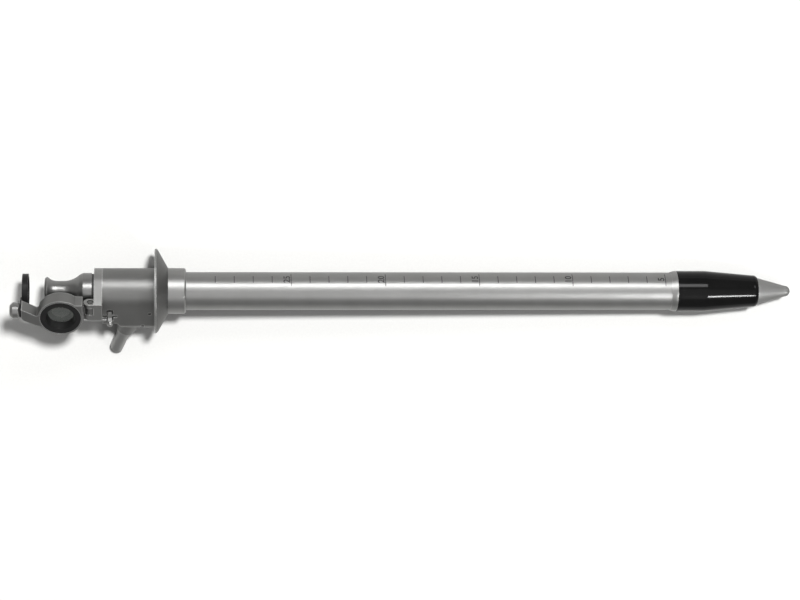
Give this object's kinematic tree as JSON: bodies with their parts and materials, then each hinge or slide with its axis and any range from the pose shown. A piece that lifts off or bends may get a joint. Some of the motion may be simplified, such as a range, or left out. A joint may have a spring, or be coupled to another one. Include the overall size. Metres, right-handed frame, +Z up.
{
  "type": "rigid endoscope",
  "caption": "Operating rectoscope lying on a table: a steel sheath with a black insulating tip, light post, swing-out window and folding loupe, closed by its obturator.",
  "frame": {"origin": "middle of the lying part's footprint, on the table", "axes": "+X along the sheath towards the black tip, +Z up from the table, -Y towards the side on which the light post's end lies"},
  "size_m": [0.4152, 0.0596, 0.0486],
  "materials": {
    "steel": "satin",
    "dark_steel": "satin",
    "black_plastic": "gloss",
    "black_enamel": "satin",
    "clear_glass": "polished",
    "fibre_glass": "polished",
    "black_rubber": "matt"
  },
  "bodies": {
    "scope": {"sheath_tube": "steel", "insulating_tip": "black_plastic", "tip_ferrule": "steel", "collar": "steel", "shield_flange": "steel", "head_housing": "steel", "light_post": "steel", "flange_screw": "dark_steel", "base_screw": "dark_steel", "fibre_bundle": "fibre_glass", "light_ring": "fibre_glass", "end_plate": "steel", "hinge_pin": "dark_steel", "catch_pin": "dark_steel"},
    "window": {"window_frame": "steel", "window_bezel": "black_enamel", "window_glass": "clear_glass", "window_gasket": "black_rubber", "arm_screw": "dark_steel"},
    "loupe": {"loupe_shaft": "dark_steel", "loupe_knob": "steel", "loupe_rim": "black_enamel", "loupe_lens": "clear_glass", "loupe_clip": "dark_steel"},
    "catch": {"catch_lever": "steel"},
    "obturator": {"obturator_handle": "steel", "obturator_seal": "black_rubber", "obturator_plug": "steel", "obturator_oring": "black_rubber", "obturator_rod": "steel", "obturator_guide": "steel", "obturator_nose": "steel"}
  },
  "joints": [
    {"name": "window_hinge", "type": "hinge", "parent": "scope", "child": "window", "pos_m": [-0.16605, 0.00101, 0.03751], "axis": [0.0193, 0.8688, 0.4948], "range_deg": [0, 95]},
    {"name": "loupe_pivot", "type": "hinge", "parent": "window", "child": "loupe", "pos_m": [-0.20162, 0.00064, 0.04156], "axis": [0.9992, 0, -0.039], "range_deg": [0, 95]},
    {"name": "catch_tilt", "type": "hinge", "parent": "scope", "child": "catch", "pos_m": [-0.15636, -0.0044, 0.02944], "axis": [-0.9992, 0, 0.039], "range_deg": [0, 20]},
    {"name": "obturator_slide", "type": "slide", "parent": "scope", "child": "obturator", "axis": [-0.9992, 0, 0.039], "range_m": [0, 0.008]}
  ]
}
